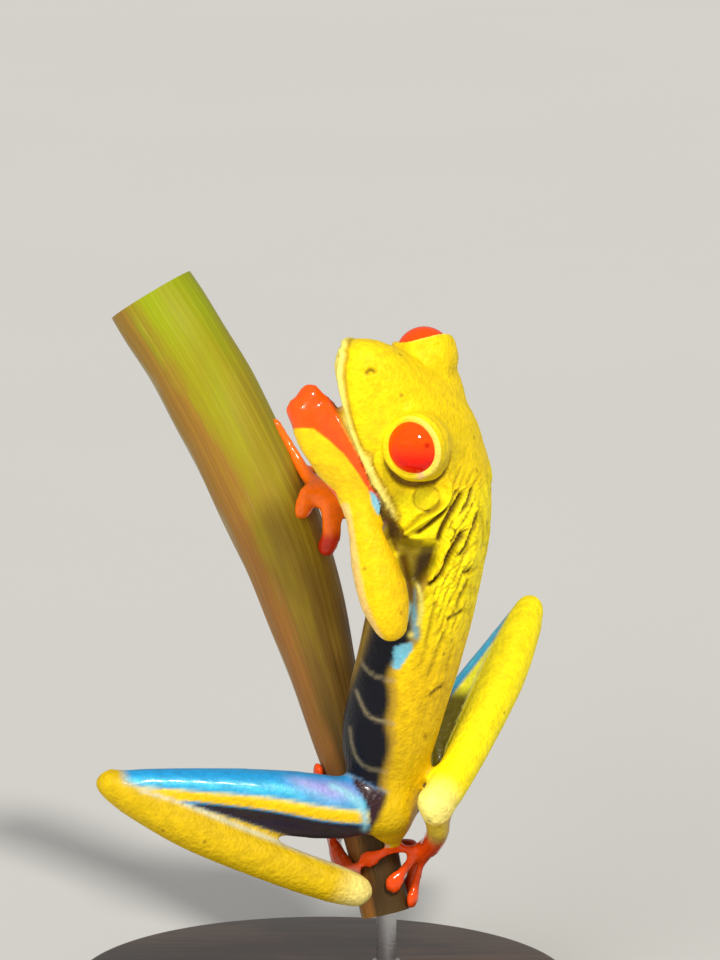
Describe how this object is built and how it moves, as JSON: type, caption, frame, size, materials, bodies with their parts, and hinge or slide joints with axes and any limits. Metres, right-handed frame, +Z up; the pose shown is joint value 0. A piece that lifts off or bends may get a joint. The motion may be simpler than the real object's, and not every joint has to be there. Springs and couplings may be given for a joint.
{
  "type": "red-eyed tree frog",
  "caption": "Life-size still model of a slim tree frog with bulging red eyes, clinging head-up to a cut length of leaf stalk on a plain display stand.",
  "frame": {"origin": "centre of the underside of the stand's flat base, on the surface it stands on", "axes": "+Z up, with the stalk and the frog's body rising along it; +Y from the frog's back towards the far side of the stalk; +X to the right of the picture, with the stalk leaning towards -X"},
  "size_m": [0.064, 0.056, 0.0884],
  "materials": {
    "skin": "moist skin, yellow-green in sunlight, with blue-black flanks and blue thighs",
    "hand_skin": "smooth, moist, orange to red",
    "eye": "wet, glossy red iris with a narrow upright pupil",
    "leaf_stalk": "smooth plant stalk, green above and brownish below",
    "base_wood": "dark, satin",
    "rod": "brushed"
  },
  "bodies": {
    "root": {"head": "skin", "torso": "skin", "upper_arm_left": "skin", "forearm_left": "skin", "upper_arm_right": "skin", "forearm_right": "skin", "thigh_left": "skin", "shin_left": "skin", "thigh_right": "skin", "shin_right": "skin", "hand_left": "hand_skin", "hand_right": "hand_skin", "foot_left": "hand_skin", "foot_right": "hand_skin", "eye_left": "eye", "eye_right": "eye", "stand_stalk": "leaf_stalk", "stand_base": "base_wood", "stand_rod": "rod"}
  },
  "joints": []
}
